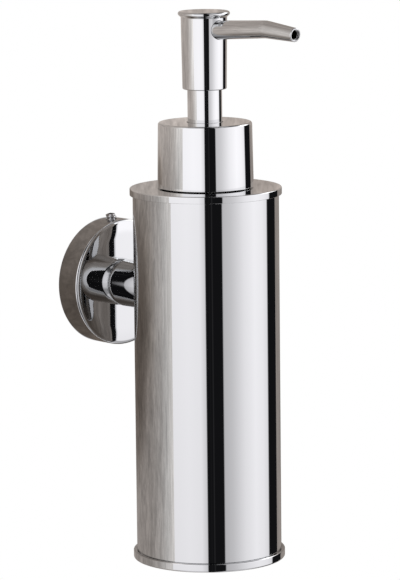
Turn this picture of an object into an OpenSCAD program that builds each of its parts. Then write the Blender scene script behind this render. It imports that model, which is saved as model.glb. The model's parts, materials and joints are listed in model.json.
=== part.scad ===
// Wall-mounted pump soap dispenser, in millimetres.
// Origin: centre of the bracket's back face, on the wall. +Y goes into the wall, +Z is up.

/* [Vessel] */
// Outside diameter of the body tube
body_d = 52; // [50:0.5:60]
// Wall thickness of the body tube
body_wall = 1; // [0.8:0.1:1.4]
// Height from the foot to the lid's top face
vessel_h = 134; // [126:1:170]
// How far the foot stands out past the tube
foot_overhang = 1.25; // [0.8:0.05:2]
// How far the lid stands out past the tube
lid_overhang = 1.05; // [0.8:0.05:2]
// Height of the foot's rim
foot_h = 3; // [2.6:0.1:4]
// Height of the lid's rim
lid_h = 2.5; // [2:0.1:3.5]
// Wall thickness of the liner bottle
liner_wall = 1.2; // [0.9:0.1:1.6]

/* [Wall bracket] */
// Distance from the wall to the vessel's axis
reach = 54.6; // [52:0.2:70]
// Height of the arm's axis above the foot
arm_h = 95; // [60:1:104]
// Diameter of the arm
arm_d = 17.4; // [15:0.2:19]
// Diameter of the rosette
rosette_d = 46; // [45:0.5:56]
// Depth of the rosette, from the wall to its face
rosette_depth = 10.4; // [10:0.1:13]
// Distance between the two wall screws
screw_spacing = 25; // [24:0.5:26]
// Diameter of a hole for a wall screw
screw_hole_d = 4.6; // [4:0.1:5]
// Thread diameter of the grub screw
grub_d = 4; // [3:0.1:4.2]
// How far the grub screw stands proud of the rosette
grub_proud = 2; // [1.2:0.1:2.4]
// Lean of the grub screw from straight up, in degrees
grub_lean = 4; // [0:1:15]

/* [Collar] */
// Diameter of the collar at its lower edge
collar_d = 34.2; // [33.6:0.1:37]
// How much narrower the collar is at its top
collar_taper = 0.8; // [0:0.1:1.2]
// Height of the collar
collar_h = 23; // [21:0.5:27]
// Rise of the collar in one turn of its thread
thread_pitch = 4.23; // [3:0.01:5]

/* [Pump head] */
// Diameter of the sleeve round the stem
sleeve_d = 12.3; // [11.8:0.1:12.8]
// Length of the sleeve that shows under the head at rest
stem_show = 11.7; // [9:0.1:13]
// Diameter of the head at its lower edge
head_d = 15.7; // [15.4:0.1:17]
// Diameter of the head below its flare
head_waist_d = 16.4; // [16:0.1:17.4]
// Diameter of the head's flared top
head_top_d = 18.44; // [17.9:0.02:21]
// Height of the head
head_h = 27.5; // [26:0.5:32]

/* [Spout] */
// Reach of the spout's end from the vessel's axis
spout_reach = 46.3; // [40:0.1:50]
// Reach of the bend from the vessel's axis
spout_bend_reach = 31.8; // [26:0.1:34]
// Height of the spout's root above the head's lower edge
spout_root_h = 20.7; // [19.5:0.1:21.2]
// Rise of the long run, in degrees
spout_rise = 3.9; // [1:0.1:6]
// Fall of the end run, in degrees
spout_fall = 4.4; // [2:0.1:12]
// Outside diameter at the root
spout_root_d = 6.8; // [6.4:0.1:7]
// Outside diameter at the bend
spout_bend_d = 6.2; // [5.6:0.1:6.4]
// Outside diameter at the end
spout_tip_d = 4.9; // [4.6:0.1:5.4]
// Bore of the spout
spout_bore_d = 3.4; // [2.6:0.1:3.6]

/* [Hidden] */
$fn = 96;

// Clearances
push_fit = 0.05; // radial, between pieces pushed together for good
run_fit = 0.08; // radial, between pieces that slide or turn in one another
free_gap = 0.3; // between pieces that move past one another
turn_play = 0.15; // axial, where the collar turns on the pump
bolt_play = 0.2; // radial, round the arm's bolt

// Heights of the vessel, above the foot's bottom
body_r = body_d / 2;
tube_in_r = body_r - body_wall;
foot_r = body_r + foot_overhang;
lid_r = body_r + lid_overhang;
tube_z0 = foot_h;
tube_z1 = vessel_h - lid_h;
foot_bead = 0.6; // rounding under the foot
rim_ease = 0.4; // rounding of the other rim edges
spigot_h = 6;
spigot_r = tube_in_r - push_fit;
lid_plate_t = 1.5; // part of the lid's plate that lies inside the tube

// Through bolt of the arm
bolt_r = 3;
bolt_hole_r = bolt_r + bolt_play;
bolt_head_r = 5.2;
bolt_head_h = 2;
bolt_socket_af = 4;
bolt_socket_depth = 1.2;
saddle_r = 6.5;
saddle_t = 1.6;
washer_r = 6;
washer_t = 1;
nut_af = 10;
nut_t = 3.2;
bolt_tail = 0.6; // thread past the nut

// Collar and neck
collar_r0 = collar_d / 2;
collar_r1 = collar_r0 - collar_taper / 2;
collar_z0 = vessel_h + free_gap;
collar_z1 = collar_z0 + collar_h;
collar_ease = 0.5;
shell_t = 1;
nut_ring_r = collar_r1 - shell_t - push_fit;
nut_ring_wall = 1.9;
nut_ring_bore_r = nut_ring_r - nut_ring_wall;
nut_ring_lift = 1; // from the collar's lower edge
nut_ring_top_t = 3;
nut_ring_z0 = collar_z0 + nut_ring_lift;
nut_ring_z1 = collar_z1 - shell_t;
neck_r = nut_ring_bore_r - turn_play;
neck_wall = 2.4;
neck_bore_r = neck_r - neck_wall;
flange_t = 1.6;
flange_r = neck_r - push_fit;
flange_z1 = nut_ring_z1 - nut_ring_top_t - turn_play;
flange_z0 = flange_z1 - flange_t;
gasket_t = 1.2;
gasket_r = flange_r - run_fit;
neck_z1 = flange_z0 - gasket_t;
thread_turns = 1.5;
closure_rise = thread_pitch * thread_turns;
thread_z0 = neck_z1 - closure_rise - thread_pitch / 2; // lower end of the nut's threaded bore
thread_relief = 0.5; // the nut's bore is wider than its thread below that

// Liner bottle
bolt_room = saddle_t + bolt_head_h + 2 * free_gap;
liner_r = tube_in_r - bolt_room;
liner_z0 = foot_h;
shoulder_z1 = tube_z1 - lid_plate_t - free_gap;
shoulder_r = liner_r - neck_r;
liner_heel = 2;
lid_hole_r = neck_r + free_gap;

// Stem, sleeve and guide
stem_r = 3;
stem_bore_r = 1.5;
sleeve_r = sleeve_d / 2;
sleeve_wall = 0.9;
sleeve_bore_r = sleeve_r - sleeve_wall;
press_stop = 1.2; // left between the head and the collar at full press
stroke = stem_show - press_stop;
guide_bore_r = sleeve_r + run_fit;
guide_wall = 1.4;
guide_r = guide_bore_r + guide_wall;
guide_rim_r = guide_r + 1.5;
snap_rim_r = guide_rim_r + 1.6; // rests over the closure nut's ledge
snap_rim_t = 1.2;
guide_z1 = nut_ring_z1 - free_gap;
sleeve_engage = 3;
sleeve_z0 = guide_z1 - sleeve_engage;
guide_floor_z1 = sleeve_z0 - stroke - free_gap;
guide_floor_t = 2;
guide_z0 = guide_floor_z1 - guide_floor_t;

// Pump cylinder and its lower valve
cup_bore_r = guide_r + push_fit;
cup_r = cup_bore_r + 1;
chamber_r = 5;
chamber_out_r = chamber_r + 1;
vent_r = 0.6;
vent_drop = 3;
piston_r = chamber_r - run_fit;
piston_h = 6;
piston_floor_t = 1;
piston_z1 = guide_z0 - free_gap;
piston_z0 = piston_z1 - piston_h;
snap_bead = 0.35; // stands out on the stem, inside the piston
snap_h = 1;
snap_drop = 2; // from the piston's top to the bead
spring_h = 2.1 * stroke;
spring_wire_r = 0.4;
spring_mean_r = 3.9;
spring_turns = 7;
spring_rings = 16; // per turn
spring_sides = 6;
spring_z1 = piston_z0 - push_fit;
spring_z0 = spring_z1 - spring_h;
cage_t = 1.5;
cage_slot = 1.5;
cage_slot_l = 2 * (chamber_r - 1);
cage_z1 = spring_z0 - push_fit;
chamber_z0 = cage_z1 - cage_t;
inlet_ball_r = 2.5;
inlet_lift = 1.5;
pocket_r = inlet_ball_r + 0.4;
throat_r = 1.6;
inlet_ball_z = chamber_z0 - free_gap - inlet_lift - inlet_ball_r;
inlet_apex_z = inlet_ball_z - (inlet_ball_r + push_fit) * sqrt(2); // tip of the seat's 45 degree cone
dip_r = 3;
dip_bore_r = 2.2;
socket_r = dip_r + push_fit;
socket_l = 9;
socket_z1 = inlet_apex_z + throat_r - 1.2;
tail_r = socket_r + 1.1;
tail_z0 = socket_z1 - socket_l;
dip_floor_gap = 4; // above the liner's floor

// Head, core and upper valve
head_z0 = collar_z1 + stem_show;
head_z1 = head_z0 + head_h;
head_wall = 1.4;
head_bore_r = head_d / 2 - head_wall;
head_roof_t = 3;
head_ease = 0.4;
head_bead = 0.8; // rounding of the flared top's edge
flare_angle = 40;
flare_r = (head_top_d / 2 - head_bead * (1 - cos(flare_angle)) - head_waist_d / 2) / (1 - cos(flare_angle));
flare_bead_z = head_z1 - head_bead;
flare_z0 = flare_bead_z - (head_bead + flare_r) * sin(flare_angle);
core_r = head_bore_r - push_fit;
core_plug_r = sleeve_bore_r - push_fit;
core_plug_h = 6;
sleeve_hold = 4.2; // sleeve inside the head
sleeve_z1 = head_z0 + sleeve_hold;
core_z1 = head_z1 - head_roof_t;
core_z0 = sleeve_z1 - core_plug_h;
stem_z1 = sleeve_z1 + 6;
stem_z0 = piston_z0 + piston_floor_t + push_fit;
outlet_ball_r = 2.2;
outlet_lift = 1.2;
outlet_seat_r = outlet_ball_r + 0.4;
outlet_apex_z = stem_z1 - outlet_seat_r;
outlet_ball_z = outlet_apex_z + (outlet_ball_r + push_fit) * sqrt(2);
outlet_pocket_z1 = outlet_ball_z + outlet_ball_r + outlet_lift + free_gap;
core_slot = 1.2;
spout_z = head_z0 + spout_root_h;

// Spout
spout_turn = spout_rise + spout_fall;
spout_inset = 3.4; // from the vessel's axis to the spout's inner end
spout_run1 = spout_bend_reach / cos(spout_rise);
spout_run2 = (spout_reach - spout_bend_reach) / cos(spout_fall);
spout_knuckle = 1.01; // ball at the bend, as a share of the tube's radius there
spout_bore_r = spout_bore_d / 2;
spout_hole_r = spout_root_d / 2 + push_fit;

// Wall bracket, measured out from the wall
rosette_r = rosette_d / 2;
rosette_wall = 2.6;
rosette_front_t = 2;
rosette_in_r = rosette_r - rosette_wall;
rosette_in_depth = rosette_depth - rosette_front_t;
rosette_ease = 0.9;
rosette_back_ease = 0.3;
plate_r = rosette_in_r - free_gap;
plate_t = rosette_in_depth - 0.2;
plate_recess_r = 7;
plate_floor_t = 2.5;
sink_r = 4.4; // countersink of a wall screw
sink_depth = 2.2;
arm_r = arm_d / 2;
arm_ease = 0.6; // rounding of the arm's edge at the rosette
grub_r = grub_d / 2;
grub_tip_r = 0.6;
grub_point_h = grub_r - grub_tip_r;
grub_z1 = rosette_r + grub_proud;
grub_z0 = plate_r - free_gap;
grub_travel = grub_proud - 0.2;
grub_socket_af = grub_d / 2;
grub_socket_depth = 1.8;
pocket_floor_gap = 0.4; // under the grub screw's point when it is driven home

echo(stroke=stroke, closure_rise=closure_rise, grub_travel=grub_travel);
echo(spring_z0=spring_z0 - arm_h, spring_z1=spring_z1 - arm_h);
echo(spring_gap=(spring_h - 2 * spring_wire_r) / spring_turns - 2 * spring_wire_r);

// Points of an arc about c, from angle a0 to a1
function arc(c, r, a0, a1, n = 6) = [
    for (i = [0 : n])
        let (a = a0 + (a1 - a0) * i / n)
        c + r * [cos(a), sin(a)]
];

// Corner radius of a hexagon from its width across flats
function hex_r(af) = af / (2 * cos(30));

// Puts the vessel's axis, with the foot's bottom at z = 0, in front of the wall
module at_vessel() {
    translate([0, -reach, -arm_h]) children();
}

// Turns +Z away from the wall and +Y up, about the bracket's axis
module at_wall() {
    rotate([90, 0, 0]) children();
}

// Turns +Z outward along the grub screw's axis, from the bracket's axis
module at_grub() {
    at_wall()
        translate([0, 0, rosette_depth / 2])
            rotate([0, 0, grub_lean])
                rotate([-90, 0, 0])
                    children();
}

// Turns +Z along the spout's long run, from the vessel's axis
module at_spout() {
    at_vessel()
        translate([0, 0, spout_z])
            rotate([90 - spout_rise, 0, 0])
                children();
}

module turned(points) {
    rotate_extrude() polygon(points);
}

module ring(r_out, r_in, z0, z1) {
    difference() {
        translate([0, 0, z0]) cylinder(h = z1 - z0, r = r_out);
        translate([0, 0, z0 - 1]) cylinder(h = z1 - z0 + 2, r = r_in);
    }
}

// Cylinder of the vessel's tube, seen from the bracket's axis
module vessel_cylinder(r) {
    translate([0, 0, reach])
        rotate([90, 0, 0])
            cylinder(h = 4 * arm_r, r = r, center = true);
}

module wall_plate() {
    color("dimgray")
        difference() {
            at_wall()
                difference() {
                    cylinder(h = plate_t, r = plate_r);
                    translate([0, 0, plate_floor_t]) cylinder(h = plate_t, r = plate_recess_r);
                    for (side = [-1, 1])
                        translate([side * screw_spacing / 2, 0, 0]) {
                            translate([0, 0, -1]) cylinder(h = plate_t + 2, d = screw_hole_d);
                            translate([0, 0, plate_t - sink_depth])
                                cylinder(h = sink_depth, d1 = screw_hole_d, r2 = sink_r);
                        }
                }
            at_grub()
                translate([0, 0, grub_z0 - grub_travel - pocket_floor_gap])
                    cylinder(h = plate_r, r = grub_r + free_gap);
        }
}

module rosette() {
    color("silver")
        difference() {
            at_wall()
                difference() {
                    turned(concat(
                        [[0, 0], [rosette_r - rosette_back_ease, 0], [rosette_r, rosette_back_ease]],
                        arc([rosette_r - rosette_ease, rosette_depth - rosette_ease], rosette_ease, 0, 90),
                        [[0, rosette_depth]]
                    ));
                    translate([0, 0, -1]) cylinder(h = rosette_in_depth + 1, r = rosette_in_r);
                    cylinder(h = rosette_depth + 1, r = bolt_hole_r);
                }
            at_grub() cylinder(h = rosette_r + 1, r = grub_r + run_fit);
        }
}

module grub_screw() {
    color("gray")
        at_grub()
            difference() {
                union() {
                    translate([0, 0, grub_z0]) cylinder(h = grub_point_h, r1 = grub_tip_r, r2 = grub_r);
                    translate([0, 0, grub_z0 + grub_point_h])
                        cylinder(h = grub_z1 - grub_z0 - grub_point_h, r = grub_r);
                }
                translate([0, 0, grub_z1 - grub_socket_depth])
                    cylinder(h = grub_socket_depth + 1, r = hex_r(grub_socket_af), $fn = 6);
            }
}

module arm() {
    color("silver")
        at_wall()
            difference() {
                turned(concat(
                    [[0, rosette_depth]],
                    arc([arm_r - arm_ease, rosette_depth + arm_ease], arm_ease, -90, 0),
                    [[arm_r, reach], [0, reach]]
                ));
                vessel_cylinder(body_r + push_fit);
                cylinder(h = reach, r = bolt_hole_r);
            }
}

module arm_bolt() {
    head_z0 = reach - tube_in_r + saddle_t;
    tail_z0 = rosette_in_depth - washer_t - nut_t - bolt_tail;
    color("gainsboro")
        at_wall()
            difference() {
                union() {
                    translate([0, 0, tail_z0]) cylinder(h = head_z0 - tail_z0, r = bolt_r);
                    translate([0, 0, head_z0]) cylinder(h = bolt_head_h, r = bolt_head_r);
                }
                translate([0, 0, head_z0 + bolt_head_h - bolt_socket_depth])
                    cylinder(h = bolt_head_h, r = hex_r(bolt_socket_af), $fn = 6);
            }
}

module arm_saddle() {
    color("gainsboro")
        at_wall()
            difference() {
                intersection() {
                    translate([0, 0, reach - body_r]) cylinder(h = body_wall + saddle_t, r = saddle_r);
                    vessel_cylinder(tube_in_r - push_fit);
                }
                cylinder(h = reach, r = bolt_hole_r);
            }
}

module arm_washer() {
    color("gainsboro")
        at_wall()
            ring(washer_r, bolt_hole_r, rosette_in_depth - washer_t, rosette_in_depth);
}

module arm_nut() {
    nut_z1 = rosette_in_depth - washer_t;
    color("gainsboro")
        at_wall()
            difference() {
                translate([0, 0, nut_z1 - nut_t]) cylinder(h = nut_t, r = hex_r(nut_af), $fn = 6);
                translate([0, 0, nut_z1 - nut_t - 1]) cylinder(h = nut_t + 2, r = bolt_r + push_fit);
            }
}

module body_tube() {
    color("silver")
        difference() {
            at_vessel() ring(body_r, tube_in_r, tube_z0, tube_z1);
            at_wall() cylinder(h = reach, r = bolt_hole_r);
        }
}

module base_cap() {
    color("silver")
        at_vessel()
            turned(concat(
                [[0, 0]],
                arc([foot_r - foot_bead, foot_bead], foot_bead, -90, 0),
                arc([foot_r - rim_ease, foot_h - rim_ease], rim_ease, 0, 90),
                [
                    [spigot_r, foot_h],
                    [spigot_r, foot_h + spigot_h],
                    [liner_r + free_gap, foot_h + spigot_h],
                    [liner_r + free_gap, foot_h],
                    [0, foot_h]
                ]
            ));
}

module top_cap() {
    color("silver")
        at_vessel()
            turned(concat(
                [
                    [lid_hole_r, vessel_h],
                    [lid_hole_r, tube_z1 - lid_plate_t],
                    [liner_r + free_gap, tube_z1 - lid_plate_t],
                    [liner_r + free_gap, tube_z1 - spigot_h],
                    [spigot_r, tube_z1 - spigot_h],
                    [spigot_r, tube_z1],
                    [lid_r, tube_z1]
                ],
                arc([lid_r - rim_ease, vessel_h - rim_ease], rim_ease, 0, 90)
            ));
}

module liner_bottle() {
    shoulder = [neck_r, shoulder_z1 - shoulder_r];
    inner_heel = liner_heel - liner_wall;
    heel = [liner_r - liner_heel, liner_z0 + liner_heel];
    color("whitesmoke")
        at_vessel()
            turned(concat(
                [[0, liner_z0]],
                arc(heel, liner_heel, -90, 0),
                arc(shoulder, shoulder_r, 0, 90, 10),
                [
                    [neck_r, neck_z1],
                    [neck_bore_r, neck_z1],
                    [neck_bore_r, shoulder_z1 - liner_wall]
                ],
                arc(shoulder, shoulder_r - liner_wall, 90, 0, 10),
                arc(heel, inner_heel, 0, -90),
                [[0, liner_z0 + liner_wall]]
            ));
}

module collar_shell() {
    bore_r = nut_ring_r + push_fit;
    hole_r = sleeve_r + free_gap;
    color("silver")
        at_vessel()
            turned(concat(
                [[bore_r, collar_z0], [collar_r0, collar_z0]],
                arc([collar_r1 - collar_ease, collar_z1 - collar_ease], collar_ease, 0, 90),
                [[hole_r, collar_z1], [hole_r, nut_ring_z1], [bore_r, nut_ring_z1]]
            ));
}

module closure_nut() {
    under_z = nut_ring_z1 - nut_ring_top_t;
    ledge_z = guide_z1 - snap_rim_t - turn_play;
    ledge_r = snap_rim_r + free_gap;
    hole_r = guide_rim_r + free_gap;
    color("lightgray")
        at_vessel()
            turned([
                [nut_ring_bore_r + thread_relief, nut_ring_z0],
                [nut_ring_r, nut_ring_z0],
                [nut_ring_r, nut_ring_z1],
                [ledge_r, nut_ring_z1],
                [ledge_r, ledge_z],
                [hole_r, ledge_z],
                [hole_r, under_z],
                [nut_ring_bore_r, under_z],
                [nut_ring_bore_r, thread_z0],
                [nut_ring_bore_r + thread_relief, thread_z0 - thread_relief]
            ]);
}

module neck_gasket() {
    color("white")
        at_vessel()
            ring(gasket_r, neck_bore_r, neck_z1, flange_z0);
}

module pump_housing() {
    cone_z1 = inlet_apex_z + pocket_r;
    step_z = chamber_z0 - 1;
    color("white")
        at_vessel()
            difference() {
                turned([
                    [flange_r, flange_z1],
                    [flange_r, flange_z0],
                    [cup_r, flange_z0],
                    [cup_r, guide_z0 - 1],
                    [chamber_out_r, guide_z0 - 1],
                    [chamber_out_r, step_z],
                    [tail_r, step_z - (chamber_out_r - tail_r)],
                    [tail_r, tail_z0],
                    [socket_r, tail_z0],
                    [socket_r, socket_z1],
                    [throat_r, socket_z1],
                    [throat_r, inlet_apex_z + throat_r],
                    [pocket_r, cone_z1],
                    [pocket_r, chamber_z0],
                    [chamber_r, chamber_z0],
                    [chamber_r, guide_z0],
                    [cup_bore_r, guide_z0],
                    [cup_bore_r, flange_z1]
                ]);
                translate([0, 0, flange_z0 - vent_drop])
                    rotate([90, 0, 0])
                        cylinder(h = cup_r + 1, r = vent_r);
            }
}

module stem_guide() {
    color("white")
        at_vessel()
            turned([
                [snap_rim_r, guide_z1],
                [snap_rim_r, guide_z1 - snap_rim_t],
                [guide_rim_r, guide_z1 - snap_rim_t],
                [guide_rim_r, flange_z1],
                [guide_r, flange_z1],
                [guide_r, guide_z0],
                [stem_r + run_fit, guide_z0],
                [stem_r + run_fit, guide_floor_z1],
                [guide_bore_r, guide_floor_z1],
                [guide_bore_r, guide_z1]
            ]);
}

module spring_seat() {
    color("white")
        at_vessel()
            translate([0, 0, chamber_z0])
                difference() {
                    cylinder(h = cage_t, r = chamber_r - push_fit);
                    for (a = [0, 90])
                        rotate([0, 0, a])
                            translate([-cage_slot_l / 2, -cage_slot / 2, -1])
                                cube([cage_slot_l, cage_slot, cage_t + 2]);
                }
}

module dip_tube() {
    bottom_z = liner_z0 + liner_wall + dip_floor_gap;
    color("ghostwhite")
        at_vessel()
            difference() {
                ring(dip_r, dip_bore_r, bottom_z, socket_z1);
                // Slanted mouth, so that the tube can't seal against the floor
                translate([0, -dip_r, bottom_z])
                    rotate([45, 0, 0])
                        translate([-2 * dip_r, -dip_r, -6 * dip_r])
                            cube([4 * dip_r, 12 * dip_r, 6 * dip_r]);
            }
}

module piston() {
    bead_z1 = piston_z1 - snap_drop;
    bore_r = stem_r + run_fit;
    color("white")
        at_vessel()
            turned([
                [piston_r, piston_z1],
                [piston_r, piston_z0],
                [stem_bore_r, piston_z0],
                [stem_bore_r, piston_z0 + piston_floor_t],
                [bore_r, piston_z0 + piston_floor_t],
                [bore_r, bead_z1 - snap_h - run_fit],
                [bore_r + snap_bead, bead_z1 - snap_h - run_fit],
                [bore_r + snap_bead, bead_z1 + run_fit],
                [bore_r, bead_z1 + run_fit],
                [bore_r, piston_z1]
            ]);
}

// Ring of the spring's wire at turn t, square to the helix
function spring_ring(t) =
    let (
        a = 360 * t,
        pitch = (spring_h - 2 * spring_wire_r) / spring_turns,
        slope = atan(pitch / (2 * PI * spring_mean_r)),
        out = [cos(a), sin(a), 0],
        up = [sin(a) * sin(slope), -cos(a) * sin(slope), cos(slope)],
        c = spring_mean_r * out + [0, 0, spring_z0 + spring_wire_r + pitch * t]
    )
    [
        for (k = [0 : spring_sides - 1])
            c + spring_wire_r * (cos(360 * k / spring_sides) * out + sin(360 * k / spring_sides) * up)
    ];

module return_spring() {
    rings = spring_turns * spring_rings;
    n = spring_sides;
    points = [for (i = [0 : rings]) each spring_ring(i / spring_rings)];
    sides = [
        for (i = [0 : rings - 1])
            for (k = [0 : n - 1])
                [i * n + k, (i + 1) * n + k, (i + 1) * n + (k + 1) % n, i * n + (k + 1) % n]
    ];
    caps = [[for (k = [0 : n - 1]) k], [for (k = [n - 1 : -1 : 0]) rings * n + k]];
    color("lightslategray")
        at_vessel()
            polyhedron(points = points, faces = concat(sides, caps));
}

module inlet_ball() {
    color("lightsteelblue")
        at_vessel()
            translate([0, 0, inlet_ball_z]) sphere(r = inlet_ball_r);
}

module stem() {
    bead_z1 = piston_z1 - snap_drop;
    color("white")
        at_vessel()
            turned([
                [stem_bore_r, stem_z0],
                [stem_r, stem_z0],
                [stem_r, bead_z1 - snap_h],
                [stem_r + snap_bead, bead_z1 - snap_h],
                [stem_r + snap_bead, bead_z1 - snap_bead],
                [stem_r, bead_z1],
                [stem_r, stem_z1],
                [outlet_seat_r, stem_z1],
                [stem_bore_r, outlet_apex_z + stem_bore_r]
            ]);
}

module stem_sleeve() {
    color("silver")
        at_vessel()
            ring(sleeve_r, sleeve_bore_r, sleeve_z0, sleeve_z1);
}

module actuator_core() {
    bore_r = stem_r + push_fit;
    color("white")
        difference() {
            at_vessel()
                difference() {
                    turned([
                        [bore_r, core_z0],
                        [core_plug_r, core_z0],
                        [core_plug_r, sleeve_z1],
                        [core_r, sleeve_z1],
                        [core_r, core_z1],
                        [0, core_z1],
                        [0, outlet_pocket_z1],
                        [outlet_seat_r, outlet_pocket_z1],
                        [outlet_seat_r, stem_z1],
                        [bore_r, stem_z1]
                    ]);
                    for (a = [0, 90])
                        rotate([0, 0, a])
                            translate([-outlet_seat_r, -core_slot / 2, outlet_pocket_z1 - 1])
                                cube([2 * outlet_seat_r, core_slot, spout_z - outlet_pocket_z1 + 1]);
                }
            at_spout() {
                translate([0, 0, -outlet_seat_r]) cylinder(h = core_r, r = spout_bore_r);
                translate([0, 0, spout_inset]) cylinder(h = core_r, r = spout_hole_r);
            }
        }
}

module pump_head() {
    color("silver")
        difference() {
            at_vessel()
                difference() {
                    turned(concat(
                        [[0, head_z0], [head_d / 2 - head_ease, head_z0], [head_d / 2, head_z0 + head_ease]],
                        arc([head_waist_d / 2 + flare_r, flare_z0], flare_r, 180, 180 - flare_angle),
                        arc([head_top_d / 2 - head_bead, flare_bead_z], head_bead, -flare_angle, 90, 8),
                        [[0, head_z1]]
                    ));
                    translate([0, 0, head_z0 - 1]) cylinder(h = core_z1 - head_z0 + 1, r = head_bore_r);
                }
            at_spout() cylinder(h = head_top_d, r = spout_hole_r);
        }
}

// Both runs of the spout and a ball at the bend, with the radii at its root, bend and end
module spout_runs(r_root, r_bend, r_tip, start, overrun) {
    translate([0, 0, start])
        cylinder(h = spout_run1 - start, r1 = r_root, r2 = r_bend);
    translate([0, 0, spout_run1]) {
        sphere(r = spout_knuckle * r_bend);
        rotate([spout_turn, 0, 0])
            cylinder(h = spout_run2 + overrun, r1 = r_bend, r2 = r_tip);
    }
}

module spout() {
    color("silver")
        at_spout()
            difference() {
                spout_runs(spout_root_d / 2, spout_bend_d / 2, spout_tip_d / 2, spout_inset, 0);
                spout_runs(spout_bore_r, spout_bore_r, spout_bore_r, spout_inset - 1, 1);
            }
}

module outlet_ball() {
    color("lightsteelblue")
        at_vessel()
            translate([0, 0, outlet_ball_z]) sphere(r = outlet_ball_r);
}

wall_plate();
rosette();
grub_screw();
arm();
arm_bolt();
arm_saddle();
arm_washer();
arm_nut();
body_tube();
base_cap();
top_cap();
liner_bottle();
collar_shell();
closure_nut();
neck_gasket();
pump_housing();
stem_guide();
spring_seat();
dip_tube();
piston();
return_spring();
inlet_ball();
stem();
stem_sleeve();
actuator_core();
pump_head();
spout();
outlet_ball();
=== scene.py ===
"""Looks of a wall-mounted pump soap dispenser: turned chrome pieces, threads, a spring and a studio."""

import json
import logging
import math
from collections.abc import Sequence
from dataclasses import asdict, dataclass, field, fields
from enum import Enum

import bpy
from bpy.types import Material, Mesh, Node, NodeSocket, Object
from mathutils import Matrix, Vector


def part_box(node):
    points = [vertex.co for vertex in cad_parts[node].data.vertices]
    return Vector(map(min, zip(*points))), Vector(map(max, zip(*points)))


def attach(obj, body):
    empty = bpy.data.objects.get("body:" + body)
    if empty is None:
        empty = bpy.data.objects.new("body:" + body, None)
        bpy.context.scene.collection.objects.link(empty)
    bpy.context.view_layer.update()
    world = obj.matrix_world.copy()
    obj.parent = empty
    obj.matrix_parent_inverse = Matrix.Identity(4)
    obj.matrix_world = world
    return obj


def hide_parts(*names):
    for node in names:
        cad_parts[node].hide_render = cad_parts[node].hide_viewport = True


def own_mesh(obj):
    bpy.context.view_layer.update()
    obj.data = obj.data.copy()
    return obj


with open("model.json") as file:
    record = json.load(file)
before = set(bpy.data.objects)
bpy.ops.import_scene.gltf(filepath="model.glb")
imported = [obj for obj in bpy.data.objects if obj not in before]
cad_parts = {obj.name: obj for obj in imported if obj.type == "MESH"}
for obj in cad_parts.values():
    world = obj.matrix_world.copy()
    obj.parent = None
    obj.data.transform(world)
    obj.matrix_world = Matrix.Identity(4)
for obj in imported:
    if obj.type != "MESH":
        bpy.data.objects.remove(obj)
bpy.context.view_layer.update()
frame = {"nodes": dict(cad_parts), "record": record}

LOG = logging.getLogger("soap_dispenser")
MM = 0.001
QUARTER = math.pi / 2
NO_LENGTH = 1e-9
NORMALS = "turned_normal"

Pair = tuple[float, float]
Triple = tuple[float, float, float]
Rows = tuple[Pair, ...]
# Radius, height and, unless it is sharp, rounding of a corner of an outline.
Corner = tuple[float, ...]
# Point of an outline and the outward normal there.
Mark = tuple[Vector, Vector]


class Body(Enum):
    """Bodies of the dispenser that pieces ride on."""

    HOLDER = "holder"
    GRUB = "grub"
    PUMP_UNIT = "pump_unit"
    CLOSURE = "closure"
    ACTUATOR = "actuator"


class Slot(Enum):
    """Material slots of the record."""

    CHROME = "chrome"
    STEEL = "steel"
    ZINC = "zinc"
    WHITE_PLASTIC = "white_plastic"
    LINER_PLASTIC = "liner_plastic"
    GREY_PLASTIC = "grey_plastic"
    SEAL_RUBBER = "seal_rubber"
    CLEAR_TUBE = "clear_tube"


def linked(name: str, data: bpy.types.ID) -> Object:
    """Adds an object to the scene.

    Args:
        name: name of the object.
        data: its mesh, camera or lamp.

    Returns:
        The new object.
    """
    item = bpy.data.objects.new(name, data)
    bpy.context.scene.collection.objects.link(item)
    return item


def sheet(name: str, corners: Sequence[Triple]) -> Mesh:
    """Makes a mesh of one flat face.

    Args:
        name: name of the mesh.
        corners: the face's corners, in order.

    Returns:
        The mesh.
    """
    mesh = bpy.data.meshes.new(name)
    mesh.from_pydata(corners, [], [range(len(corners))])
    return mesh


def evaluated(item: Object) -> Mesh:
    """Plain mesh of an object with its modifiers applied."""
    depsgraph = bpy.context.evaluated_depsgraph_get()
    return bpy.data.meshes.new_from_object(item.evaluated_get(depsgraph))


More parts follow.
